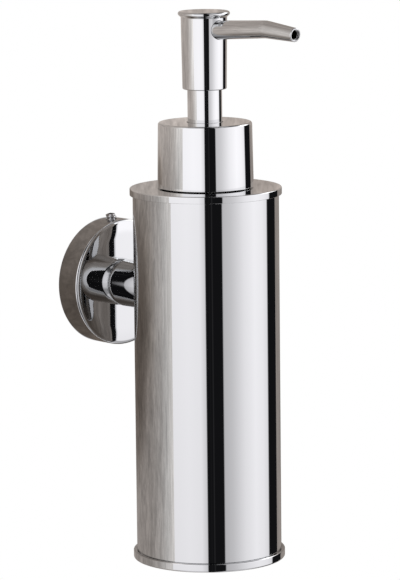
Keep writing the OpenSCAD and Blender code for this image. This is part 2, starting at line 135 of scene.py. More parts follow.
class NodeTree:
    """Short way to add and join the nodes of one tree."""

    MIX_INPUTS = (0, 6, 7)
    MIX_COLOUR = 2

    def __init__(self, tree: bpy.types.NodeTree) -> None:
        """Keeps the tree and empties it."""
        self.tree = tree
        tree.nodes.clear()

    def add(self, kind: str, feeds: dict[str | int, object] | None = None, **settings: object) -> Node:
        """Adds a node.

        Args:
            kind: Blender's type name of the node.
            feeds: an output to link or a value to set for each input, by its name or place.
            settings: properties to set on the node before it is fed.

        Returns:
            The new node.
        """
        node = self.tree.nodes.new(kind)
        for name, value in settings.items():
            setattr(node, name, value)
        for key, value in (feeds or {}).items():
            if isinstance(value, NodeSocket):
                self.join(value, node.inputs[key])
            else:
                node.inputs[key].default_value = value
        return node

    def join(self, source: NodeSocket, target: NodeSocket) -> None:
        """Links an output to an input."""
        self.tree.links.new(source, target)

    def math(self, operation: str, *values: object) -> NodeSocket:
        """Result of a Math node that is fed with outputs or numbers, in order."""
        return self.add("ShaderNodeMath", dict(enumerate(values)), operation=operation).outputs[0]

    def length(self, x: NodeSocket, y: NodeSocket) -> NodeSocket:
        """Length of the way that x and y give."""
        squares = [self.math("MULTIPLY", side, side) for side in (x, y)]
        return self.math("SQRT", self.math("ADD", *squares))

    def spread(self, value: NodeSocket, low: float, high: float) -> NodeSocket:
        """Maps an output from 0 to 1 onto low to high."""
        feeds = {"Value": value, "To Min": low, "To Max": high}
        return self.add("ShaderNodeMapRange", feeds).outputs["Result"]

    def mix(self, blend: str, *values: object) -> NodeSocket:
        """Colour of a Mix node that is fed with its factor and its two colours."""
        feeds = dict(zip(self.MIX_INPUTS, values))
        return self.add("ShaderNodeMix", feeds, data_type="RGBA", blend_type=blend).outputs[self.MIX_COLOUR]

    def product(self, result: NodeSocket, *others: NodeSocket) -> NodeSocket:
        """Multiplies colours.

        Args:
            result: the first colour.
            others: the colours or shares to multiply it by, in order.

        Returns:
            The product.
        """
        for other in others:
            result = self.mix("MULTIPLY", 1.0, result, other)
        return result

    def noise(self, waves: Triple, detail: float, warp: float = 0.0) -> NodeSocket:
        """Adds noise on the piece's own coordinates.

        Args:
            waves: waves per metre along X, Y and Z.
            detail: octaves of the noise.
            warp: how far the noise bends itself.

        Returns:
            The noise's factor.
        """
        place = self.add("ShaderNodeTexCoord").outputs["Object"]
        scaled = self.add("ShaderNodeMapping", {"Vector": place, "Scale": waves}).outputs["Vector"]
        feeds = {"Vector": scaled, "Scale": 1.0, "Detail": detail, "Distortion": warp}
        return self.add("ShaderNodeTexNoise", feeds).outputs["Fac"]


def new_material(name: str) -> tuple[Material, NodeTree]:
    """Makes a material that is wired by the caller.

    Args:
        name: name of the material.

    Returns:
        The material and its empty tree.
    """
    made = bpy.data.materials.new(name)
    made.use_nodes = True
    return made, NodeTree(made.node_tree)


@dataclass(frozen=True)
class Finish:
    """Surface of a piece.

    Attributes:
        name: name of the material.
        colour: base colour, linear.
        rough: lowest and highest roughness.
        grain: waves per metre of the roughness, along X, Y and Z.
        shade: largest share of the colour taken off by the grain.
        metallic: 1 for metal, 0 for plastic and rubber.
        detail: octaves of the grain.
        bump: height of the grain, in metres.
        subsurface: share of light that passes into the surface.
        depth: how far it passes, in metres.
    """

    name: str
    colour: Triple
    rough: Pair
    grain: Triple
    shade: float
    metallic: float = 0.0
    detail: float = 3.0
    bump: float = 0.0
    subsurface: float = 0.0
    depth: float = 2.0 * MM

    def material(self) -> Material:
        """Builds the material, or gives the one that is built already.

        Returns:
            The material.
        """
        made = bpy.data.materials.get(self.name)
        if made is None:
            made, nodes = new_material(self.name)
            self._wire(nodes)
        return made

    def _wire(self, nodes: NodeTree) -> None:
        """Wires the shader, whose colour, roughness and height follow one grain.

        Args:
            nodes: the material's empty tree.
        """
        grain = nodes.noise(self.grain, self.detail)
        feeds = {
            "Base Color": (*self.colour, 1.0),
            "Metallic": self.metallic,
            "Roughness": nodes.spread(grain, *self.rough),
        }
        if self.bump:
            bump = nodes.add("ShaderNodeBump", {"Distance": self.bump, "Height": grain})
            feeds["Normal"] = bump.outputs["Normal"]
        if self.subsurface:
            feeds["Subsurface Weight"] = self.subsurface
            feeds["Subsurface Radius"] = (self.depth, self.depth, self.depth)
        shader = nodes.add("ShaderNodeBsdfPrincipled", feeds)
        ramp = nodes.add("ShaderNodeValToRGB", {"Fac": grain})
        for stop, left in zip(ramp.color_ramp.elements, (1 - self.shade, 1.0)):
            stop.color = (*[part * left for part in self.colour], 1.0)
        nodes.join(ramp.outputs["Color"], shader.inputs["Base Color"])
        nodes.add("ShaderNodeOutputMaterial", {"Surface": shader.outputs["BSDF"]})


FINISHES = {
    Slot.CHROME: Finish(
        "polished_chrome", (0.63, 0.636, 0.643), rough=(0.012, 0.04), grain=(60.0, 60.0, 9.0),
        shade=0.03, metallic=1.0, detail=4.0,
    ),
    Slot.STEEL: Finish(
        "bright_steel", (0.56, 0.56, 0.57), rough=(0.16, 0.34), grain=(900.0, 900.0, 2600.0),
        shade=0.12, metallic=1.0, bump=4e-6,
    ),
    Slot.ZINC: Finish(
        "zinc_plate", (0.50, 0.505, 0.51), rough=(0.30, 0.52), grain=(500.0, 500.0, 500.0),
        shade=0.22, metallic=1.0, detail=5.0, bump=1e-5,
    ),
    Slot.WHITE_PLASTIC: Finish(
        "white_polypropylene", (0.80, 0.80, 0.78), rough=(0.30, 0.44), grain=(700.0, 700.0, 700.0),
        shade=0.06, bump=6e-6, subsurface=0.1,
    ),
    Slot.LINER_PLASTIC: Finish(
        "milky_polyethylene", (0.78, 0.79, 0.77), rough=(0.34, 0.5), grain=(260.0, 260.0, 260.0),
        shade=0.07, detail=4.0, bump=1e-5, subsurface=0.3,
    ),
    Slot.GREY_PLASTIC: Finish(
        "grey_polypropylene", (0.10, 0.10, 0.105), rough=(0.38, 0.52), grain=(800.0, 800.0, 800.0),
        shade=0.15, bump=6e-6,
    ),
    Slot.SEAL_RUBBER: Finish(
        "seal_rubber", (0.022, 0.022, 0.023), rough=(0.55, 0.75), grain=(1400.0, 1400.0, 1400.0),
        shade=0.3, detail=4.0, bump=1e-5,
    ),
    Slot.CLEAR_TUBE: Finish(
        "dip_tube_polyethylene", (0.76, 0.79, 0.79), rough=(0.18, 0.28), grain=(300.0, 300.0, 40.0),
        shade=0.05, bump=4e-6, subsurface=0.4,
    ),
}


class Outline:
    """Outline of a turned piece, with its material on the left as it runs from corner to corner."""

    ARC_STEP = math.radians(7.5)

    def __init__(self, corners: Sequence[Corner], closed: bool = True, pitch: float = 0.0) -> None:
        """Keeps the corners.

        Args:
            corners: radius, height and, unless it is sharp, rounding of each corner, in order.
            closed: whether the last corner joins the first; an open outline starts and ends on the axis.
            pitch: longest straight stretch, or 0 for any length.
        """
        self.points = [Vector(corner[:2]) for corner in corners]
        self.eases = [sum(corner[2:]) for corner in corners]
        self.closed = closed
        self.pitch = pitch

    def stretches(self) -> list[tuple[Mark, Mark]]:
        """Cuts the outline into short stretches.

        Returns:
            The point and outward normal at both ends of each stretch, in order.
        """
        parts: list[tuple[Mark, Mark]] = []
        arcs = [self._arc(i) for i in range(len(self.points))]
        following = arcs[1:] + arcs[:1] if self.closed else arcs[1:]
        for arc, after in zip(arcs, following):
            run = self._straight(arc[-1][0], after[0][0])
            for marks in (arc, run):
                parts += zip(marks, marks[1:])
        return parts

    def _arc(self, i: int) -> list[Mark]:
        """Points and normals round corner i.

        Args:
            i: the corner's place in the list.

        Returns:
            Pairs of point and normal; one pair at a sharp corner.
        """
        point, ease = self.points[i], self.eases[i]
        if not ease:
            return [(point, Vector((0.0, 0.0)))]
        way_in = (point - self.points[i - 1]).normalized()
        way_out = (self.points[(i + 1) % len(self.points)] - point).normalized()
        turn = math.atan2(way_in.x * way_out.y - way_in.y * way_out.x, way_in.dot(way_out))
        first = Vector((way_in.y, -way_in.x))
        bulge = math.copysign(ease, turn)
        centre = point - way_in * (ease * math.tan(abs(turn) / 2)) - first * bulge
        steps = max(2, math.ceil(abs(turn) / self.ARC_STEP))
        normals = [Matrix.Rotation(turn * k / steps, 2) @ first for k in range(steps + 1)]
        return [(centre + normal * bulge, normal) for normal in normals]

    def _straight(self, start: Vector, end: Vector) -> list[Mark]:
        """Points and normals along a straight run.

        Args:
            start: where the run starts.
            end: where it ends.

        Returns:
            Pairs of point and normal, no further apart than the outline's pitch.
        """
        run = end - start
        if run.length < NO_LENGTH:
            return []
        normal = Vector((run.y, -run.x)).normalized()
        count = max(1, math.ceil(run.length / self.pitch)) if self.pitch else 1
        return [(start + run * k / count, normal) for k in range(count + 1)]


class Spine:
    """Straight axis of a turned piece, placed by a matrix."""

    def __init__(self, matrix: Matrix) -> None:
        """Keeps the matrix that takes the axis from +Z to its place."""
        self.matrix = matrix
        self.turn = matrix.to_3x3()

    def place(self, x: float, y: float, s: float) -> Vector:
        """Point at x and y across the axis and s along it."""
        return self.matrix @ Vector((x, y, s))

    def aim(self, s: float, direction: Vector) -> Vector:
        """Direction of a normal at s that is given across and along the axis."""
        return self.turn @ direction


class SaddleSpine(Spine):
    """Straight axis whose far end is hollowed to seat on a round tube."""

    def __init__(self, matrix: Matrix, end: float, tube_axis: float, tube_r: float) -> None:
        """Keeps the seat.

        Args:
            matrix: takes the axis from +Z to its place.
            end: where along the axis the hollow end starts.
            tube_axis: where along the axis the tube's own axis crosses it.
            tube_r: radius of the tube.
        """
        super().__init__(matrix)
        self.end = end
        self.tube_axis = tube_axis
        self.tube_r = tube_r

    def place(self, x: float, y: float, s: float) -> Vector:
        """Moves a point of the hollow end onto the tube.

        Args:
            x: place across the axis.
            y: place across the axis, along the tube.
            s: place along the axis.

        Returns:
            The point of the piece.
        """
        if s >= self.end:
            s = self.tube_axis - math.sqrt(self.tube_r**2 - x**2)
        return super().place(x, y, s)


class BentSpine(Spine):
    """Axis with one smooth bend in its own plane."""

    def __init__(self, matrix: Matrix, bend_at: float, angle: float, radius: float) -> None:
        """Keeps the bend.

        Args:
            matrix: takes the first run from +Z to its place, with the bend towards its -Y.
            bend_at: length of the first run up to the corner of the bend.
            angle: turn of the bend, in radians.
            radius: radius of the bend.
        """
        super().__init__(matrix)
        self.angle = angle
        self.radius = radius
        self.start = bend_at - radius * math.tan(angle / 2)

    def _frame(self, s: float) -> tuple[Vector, Vector, Vector]:
        """Follows the axis.

        Args:
            s: place along the axis.

        Returns:
            The point, the up direction and the run's direction there.
        """
        bent = min(max(s - self.start, 0.0) / self.radius, self.angle)
        run = Vector((0.0, -math.sin(bent), math.cos(bent)))
        up = Vector((0.0, math.cos(bent), math.sin(bent)))
        point = Vector((0.0, 0.0, min(s, self.start)))
        point += Vector((0.0, self.radius * (math.cos(bent) - 1), self.radius * math.sin(bent)))
        past = max(s - self.start - self.radius * self.angle, 0.0)
        return point + run * past, up, run

    def place(self, x: float, y: float, s: float) -> Vector:
        """Point of the piece, carried round the bend."""
        point, up, _ = self._frame(s)
        return self.matrix @ (point + Vector((x, 0.0, 0.0)) + up * y)

    def aim(self, s: float, direction: Vector) -> Vector:
        """Normal of the piece, carried round the bend."""
        _, up, run = self._frame(s)
        return self.turn @ (Vector((direction.x, 0.0, 0.0)) + up * direction.y + run * direction.z)


class Lathe:
    """Turns an outline into a closed mesh that keeps the outline's exact normals."""

    def __init__(self, outline: Outline, spine: Spine, sides: int) -> None:
        """Keeps what is turned.

        Args:
            outline: the outline, in radius and height.
            spine: the axis and its place.
            sides: faces round the axis.
        """
        self.outline = outline
        self.spine = spine
        self.sides = sides
        self.points: list[Vector] = []
        self.faces: list[list[int]] = []
        self.normals: list[Vector] = []

    def mesh(self, name: str) -> Mesh:
        """Builds the mesh.

        Args:
            name: name of the mesh.

        Returns:
            The mesh, with its normals in a corner attribute.
        """
        stretches = self.outline.stretches()
        rings = [self._ring(*start) for (start, _), _ in stretches]
        rings.append(rings[0] if self.outline.closed else self._ring(*stretches[-1][1][0]))
        for part, low, high in zip(stretches, rings, rings[1:]):
            self._band(part, low, high)
        mesh = bpy.data.meshes.new(name)
        mesh.from_pydata(self.points, [], self.faces)
        store = mesh.attributes.new(NORMALS, "FLOAT_VECTOR", "CORNER")
        store.data.foreach_set("vector", [part for normal in self.normals for part in normal])
        return mesh

    def _across(self, j: int) -> Pair:
        """Direction of side j across the axis."""
        angle = 2 * math.pi * j / self.sides
        return math.cos(angle), math.sin(angle)

    def _ring(self, r: float, s: float) -> list[int]:
        """Adds the points that one outline point sweeps.

        Args:
            r: radius of the point.
            s: its height along the axis.

        Returns:
            Places of the new points: one on the axis, or one a side.
        """
        first = len(self.points)
        count = self.sides if r >= NO_LENGTH else 1
        for x, y in map(self._across, range(count)):
            self.points.append(self.spine.place(r * x, r * y, s))
        return list(range(first, first + count))

    def _band(self, part: tuple[Mark, Mark], low: list[int], high: list[int]) -> None:
        """Adds the faces that one stretch sweeps.

        Args:
            part: point and normal at the stretch's start and at its end.
            low: places of the points at its start.
            high: places of the points at its end.
        """
        for j in range(self.sides):
            k = (j + 1) % self.sides
            face = []
            for mark, ring, sides in zip(part, (low, high), ((j, k), (k, j))):
                if len(ring) == 1:
                    sides = (j,)
                face += [ring[side % len(ring)] for side in sides]
                self.normals += [self._normal(*mark, side) for side in sides]
            self.faces.append(face)

    def _normal(self, point: Vector, normal: Vector, j: int) -> Vector:
        """Normal of an outline point once it is turned to side j."""
        x, y = self._across(j)
        return self.spine.aim(point.y, Vector((normal.x * x, normal.x * y, normal.y)))


def smooth_from_normals(mesh: Mesh) -> None:
    """Shades a mesh smooth, by the normals kept in its corners where it has them.

    Args:
        mesh: the mesh to shade.
    """
    mesh.polygons.foreach_set("use_smooth", [True] * len(mesh.polygons))
    store = mesh.attributes.get(NORMALS)
    if store is None:
        return
    values = [0.0] * (3 * len(mesh.loops))
    store.data.foreach_get("vector", values)
    normals = [Vector(values[i : i + 3]).normalized() for i in range(0, len(values), 3)]
    mesh.attributes.remove(store)
    mesh.normals_split_custom_set(normals)


def drill(spine: Spine, r: float, start: float, end: float, sides: int = 64) -> Mesh:
    """Shape of a round or many-sided hole.

    Args:
        spine: axis of the hole.
        r: radius of the hole, to its corners.
        start: where along the axis it starts.
        end: where it ends.
        sides: sides of the hole.

    Returns:
        The closed shape to cut away.
    """
    outline = Outline([(0.0, start), (r, start), (r, end), (0.0, end)], closed=False)
    return Lathe(outline, spine, sides).mesh("hole")


@dataclass(frozen=True)
class Coil:
    """Tube wound on a helix about +Z from the origin, made by one node tree for springs and threads.

    Attributes:
        radius: radius of the helix, in metres.
        height: height of the helix, in metres.
        turns: turns of the helix.
        section: radius of the tube, in metres.
        sides: faces round the tube.
        steps: rings of the tube in a turn.
        run_out: share of the length over which each end runs out.
    """

    TREE = "wound_tube"
    LEAST_RUN_OUT = 1e-6
    END_GIRTH = 0.05

    radius: float
    height: float
    turns: float
    section: float
    sides: int
    steps: int
    run_out: float = 0.0

    @classmethod
    def tree(cls) -> bpy.types.NodeTree:
        """Builds the node tree, or gives the one that is built already.

        Returns:
            The tree, with named inputs for the coil's sizes and its material.
        """
        made = bpy.data.node_groups.get(cls.TREE)
        if made is None:
            made = bpy.data.node_groups.new(cls.TREE, "GeometryNodeTree")
            for size in fields(cls):
                kind = "NodeSocketInt" if size.type is int else "NodeSocketFloat"
                made.interface.new_socket(size.name, in_out="INPUT", socket_type=kind)
            made.interface.new_socket("material", in_out="INPUT", socket_type="NodeSocketMaterial")
            made.interface.new_socket("geometry", in_out="OUTPUT", socket_type="NodeSocketGeometry")
            cls._wire(NodeTree(made))
        return made

    @classmethod
    def _wire(cls, nodes: NodeTree) -> None:
        """Wires a helix, its tapered ends, its section and its material.

        Args:
            nodes: the empty tree.
        """
        given = nodes.add("NodeGroupInput").outputs
        feeds = {"Resolution": given["steps"], "Rotations": given["turns"], "Height": given["height"]}
        feeds |= {"Start Radius": given["radius"], "End Radius": given["radius"]}
        helix = nodes.add("GeometryNodeCurveSpiral", feeds)
        along = nodes.add("GeometryNodeSplineParameter").outputs["Factor"]
        from_end = nodes.math("MINIMUM", along, nodes.math("SUBTRACT", 1.0, along))
        run_out = nodes.math("MAXIMUM", given["run_out"], cls.LEAST_RUN_OUT)
        grown = nodes.math("MINIMUM", 1.0, nodes.math("DIVIDE", from_end, run_out))
        feeds = {"Curve": helix.outputs["Curve"], "Radius": nodes.math("MAXIMUM", grown, cls.END_GIRTH)}
        sized = nodes.add("GeometryNodeSetCurveRadius", feeds)
        feeds = {"Resolution": given["sides"], "Radius": given["section"]}
        section = nodes.add("GeometryNodeCurvePrimitiveCircle", feeds, mode="RADIUS")
        feeds = {"Curve": sized.outputs["Curve"], "Profile Curve": section.outputs["Curve"]}
        tube = nodes.add("GeometryNodeCurveToMesh", {**feeds, "Fill Caps": True})
        whole = nodes.add("GeometryNodeRealizeInstances", {"Geometry": tube.outputs["Mesh"]})
        feeds = {"Geometry": whole.outputs["Geometry"], "Material": given["material"]}
        dressed = nodes.add("GeometryNodeSetMaterial", feeds)
        nodes.add("NodeGroupOutput", {"geometry": dressed.outputs["Geometry"]})

    def mesh(self, name: str, finish: Finish, matrix: Matrix) -> Mesh:
        """Makes the coil a plain mesh in its place.

        Args:
            name: name of the mesh.
            finish: surface of the coil.
            matrix: takes the coil from the origin to its place.

        Returns:
            The coil's mesh.
        """
        holder = linked(name, bpy.data.meshes.new(name))
        modifier = holder.modifiers.new("coil", "NODES")
        modifier.node_group = self.tree()
        values = {**asdict(self), "material": finish.material()}
        for item in modifier.node_group.interface.items_tree:
            if item.in_out == "INPUT":
                modifier[item.identifier] = values[item.name]
        mesh = evaluated(holder)
        bpy.data.objects.remove(holder)
        mesh.transform(matrix)
        return mesh


@dataclass
class Piece:
    """One mesh of the dispenser while it is made.

    Attributes:
        name: name of the object.
        slot: slot of the record that it belongs to, which gives its finish.
        body: body that it rides on.
        node: node that it stands for, or nothing.
        object: the object itself, once it has its mesh.
    """

    name: str
    slot: Slot
    body: Body
    node: str = ""
    object: Object = field(init=False)

    def turned(self, outline: Outline, spine: Spine, sides: int = 192) -> "Piece":
        """Makes the mesh by turning an outline about a spine."""
        self.object = linked(self.name, Lathe(outline, spine, sides).mesh(self.name))
        return self

    def wound(self, coil: Coil, matrix: Matrix) -> "Piece":
        """Makes the mesh by winding a coil and moving it to its place."""
        self.object = linked(self.name, coil.mesh(self.name, FINISHES[self.slot], matrix))
        return self

    def cut(self, cutter: Mesh) -> "Piece":
        """Takes a closed shape out of the piece.

        Args:
            cutter: the shape, in the same frame.

        Returns:
            The piece itself.
        """
        tool = linked("cutter", cutter)
        modifier = self.object.modifiers.new("cut", "BOOLEAN")
        modifier.operation = "DIFFERENCE"
        modifier.solver = "EXACT"
        modifier.object = tool
        mesh = evaluated(self.object)
        self.object.modifiers.clear()
        self.object.data = mesh
        mesh.name = self.name
        bpy.data.objects.remove(tool)
        return self

    def finished(self) -> Object:
        """Dresses the piece and joins it to its body.

        Returns:
            The finished object.
        """
        smooth_from_normals(self.object.data)
        self.object.data.materials.clear()
        self.object.data.materials.append(FINISHES[self.slot].material())
        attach(self.object, self.body.value)
        if self.node:
            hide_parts(self.node)
        LOG.info("%s: %d faces on %s", self.name, len(self.object.data.polygons), self.body.value)
        return self.object


@dataclass(frozen=True)
class Span:
    """Place of a CAD node that is round about an upright axis, in metres."""

    axis: Vector
    r: float
    low: float
    high: float

    @classmethod
    def of(cls, node: str) -> "Span":
        """Reads the span of a node from the frame.

        Args:
            node: name of the node.

        Returns:
            Its axis, radius, and lowest and highest points.
        """
        low, high = (Vector(corner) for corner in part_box(node))
        middle = (low + high) / 2
        return cls(Vector((middle.x, middle.y, 0.0)), (high.x - low.x) / 2, low.z, high.z)

    def spine(self) -> Spine:
        """Upright axis of the node."""
        return Spine(Matrix.Translation(self.axis))

    def point(self, z: float) -> Vector:
        """Point of the axis at a height."""
        return self.axis + Vector((0.0, 0.0, z))


def ring_corners(r_in: float, r_out: float, low: float, high: float, ease: float) -> list[Corner]:
    """Corners of a plain ring with four eased edges, in order."""
    return [(r_in, low, ease), (r_out, low, ease), (r_out, high, ease), (r_in, high, ease)]


def soft_edge(sharp: Pair, way_in: Pair, way_out: Pair, turns: Rows) -> list[Corner]:
    """Corners of a square edge that is eased by a chain of arcs.

    Args:
        sharp: radius and height of the edge before it is eased.
        way_in: direction of the outline before the edge.
        way_out: direction of the outline after the edge.
        turns: turn reached at the end of each arc, in degrees, and the arc's radius, in millimetres.

    Returns:
        One corner for each arc.
    """
    before, after = Vector(way_in), Vector(way_out)
    ends = [math.radians(end) for end, _ in turns]
    arcs = [(start, end, radius * MM) for start, end, (_, radius) in zip([0.0, *ends], ends, turns)]
    setback = sum(radius * (math.sin(end) - math.sin(start)) for start, end, radius in arcs)
    point = Vector(sharp) - before * setback
    corners = []
    for start, end, radius in arcs:
        reach = radius * math.tan((end - start) / 2)
        point = point + (before * math.cos(start) + after * math.sin(start)) * reach
        corners.append((point.x, point.y, radius))
        point = point + (before * math.cos(end) + after * math.sin(end)) * reach
    return corners


@dataclass
class Vessel:
    """Body tube with its foot, its lid and the liner inside, in metres."""

    wall: float = 1.0 * MM
    foot_h: float = 3.0 * MM
    foot_bead: float = 0.6 * MM
    lid_h: float = 2.5 * MM
    lid_plate: float = 1.5 * MM
    rim_ease: float = 0.4 * MM
    edge: float = 0.12 * MM
    groove: float = 0.3 * MM
    push_fit: float = 0.05 * MM
    bolt_hole_r: float = 3.2 * MM
    liner_gap: float = 0.3 * MM
    liner_wall: float = 1.2 * MM
    liner_heel: float = 2.0 * MM
    liner_round_share: float = 0.98
    liner_sides: int = 128
    nut_wall: float = 2.05 * MM
    neck_wall: float = 2.4 * MM
    thread_depth: float = 0.85 * MM
    thread_pitch: float = 4.23 * MM
    thread_turns: float = 1.75
    thread_drop: float = 1.6 * MM
    thread_section_share: float = 1.15
    thread_sides: int = 8
    thread_steps: int = 96
    thread_run_out: float = 0.12

    def __post_init__(self) -> None:
        """Reads the places of the vessel's nodes and works out the fits between them."""
        self.tube = Span.of("body_tube")
        self.foot = Span.of("base_cap")
        self.lid = Span.of("top_cap")
        self.liner = Span.of("liner_bottle")
        self.neck_r = Span.of("closure_nut").r - self.nut_wall
        self.spigot_r = self.tube.r - self.wall - self.push_fit
        self.seat_r = self.liner.r + self.liner_gap
        self.plate = self.lid.high - self.lid_h - self.lid_plate

    def build(self) -> None:
        """Makes the vessel's pieces."""
        self._tube()
        self._foot()
        self._lid()
        self._liner()
        self._thread()

    def _tube(self) -> None:
        """Makes the tube, with the hole for the arm's bolt."""
        tube = self.tube
        outline = Outline(ring_corners(tube.r - self.wall, tube.r, tube.low, tube.high, self.edge))
        across = Spine(Matrix.Translation((0, tube.axis.y, 0)) @ Matrix.Rotation(-QUARTER, 4, "X"))
        hole = drill(across, self.bolt_hole_r, tube.r / 2, 2 * tube.r)
        piece = Piece("vessel_tube", Slot.CHROME, Body.HOLDER, "body_tube")
        piece.turned(outline, tube.spine()).cut(hole).finished()

    def _foot(self) -> None:
        """Makes the foot with its bead rim, a groove round the tube's edge and the tube's spigot."""
        foot = self.foot
        top = foot.low + self.foot_h
        groove_out = self.tube.r + self.groove
        groove_in = self.tube.r - self.groove
        corners = [
            (0.0, foot.low),
            (foot.r, foot.low, self.foot_bead),
            (foot.r, top, self.rim_ease),
            (groove_out, top, self.edge),
            (groove_out, top - self.groove),
            (groove_in, top - self.groove),
            (groove_in, top),
            (self.spigot_r, top),
            (self.spigot_r, foot.high, self.rim_ease),
            (self.seat_r, foot.high, self.rim_ease),
            (self.seat_r, top),
            (0.0, top),
        ]
        piece = Piece("vessel_foot", Slot.CHROME, Body.HOLDER, "base_cap")
        piece.turned(Outline(corners, closed=False), foot.spine()).finished()

    def _lid(self) -> None:
        """Makes the lid with its rim, its spigot and the hole for the neck."""
        lid = self.lid
        under = lid.high - self.lid_h
        hole_r = self.neck_r + self.liner_gap
        corners = [
            (hole_r, self.plate, self.edge),
            (self.seat_r, self.plate),
            (self.seat_r, lid.low, self.rim_ease),
            (self.spigot_r, lid.low, self.rim_ease),
            (self.spigot_r, under),
            (lid.r, under, self.edge),
            (lid.r, lid.high, self.rim_ease),
            (hole_r, lid.high, self.edge),
        ]
        piece = Piece("vessel_lid", Slot.CHROME, Body.HOLDER, "top_cap")
        piece.turned(Outline(corners), lid.spine()).finished()

    def _liner(self) -> None:
        """Makes the liner bottle, with a neck cut down to the root of its thread."""
        liner = self.liner
        root_r = self.neck_r - self.thread_depth
        bore_r = self.neck_r - self.neck_wall
        inner_r = liner.r - self.liner_wall
        shoulder = self.plate - self.liner_gap
        roof = shoulder - self.liner_wall
        bead = self.lid.high + self.liner_gap
        floor = liner.low + self.liner_wall
        round_r = liner.r - self.neck_r
        inner_round = round_r - self.liner_wall
        corners = [
            (0.0, liner.low),
            (liner.r, liner.low, self.liner_heel),
            (liner.r, shoulder, round_r * self.liner_round_share),
            (self.neck_r, shoulder),
            (self.neck_r, bead, self.edge),
            (root_r, bead + self.thread_depth),
            (root_r, liner.high, self.rim_ease),
            (bore_r, liner.high, self.rim_ease),
            (bore_r, roof),
            (inner_r, roof, inner_round * self.liner_round_share),
            (inner_r, floor, self.liner_heel - self.liner_wall),
            (0.0, floor),
        ]
        piece = Piece("liner", Slot.LINER_PLASTIC, Body.HOLDER, "liner_bottle")
        piece.turned(Outline(corners, closed=False), liner.spine(), self.liner_sides).finished()

    def _thread(self) -> None:
        """Winds the thread round the liner's neck."""
        section = self.thread_depth * self.thread_section_share
        height = self.thread_pitch * self.thread_turns
        shape = (self.thread_sides, self.thread_steps, self.thread_run_out)
        coil = Coil(self.neck_r - section, height, self.thread_turns, section, *shape)
        foot = self.liner.point(self.liner.high - self.thread_drop - section - height)
        piece = Piece("neck_thread", Slot.LINER_PLASTIC, Body.HOLDER)
        piece.wound(coil, Matrix.Translation(foot)).finished()


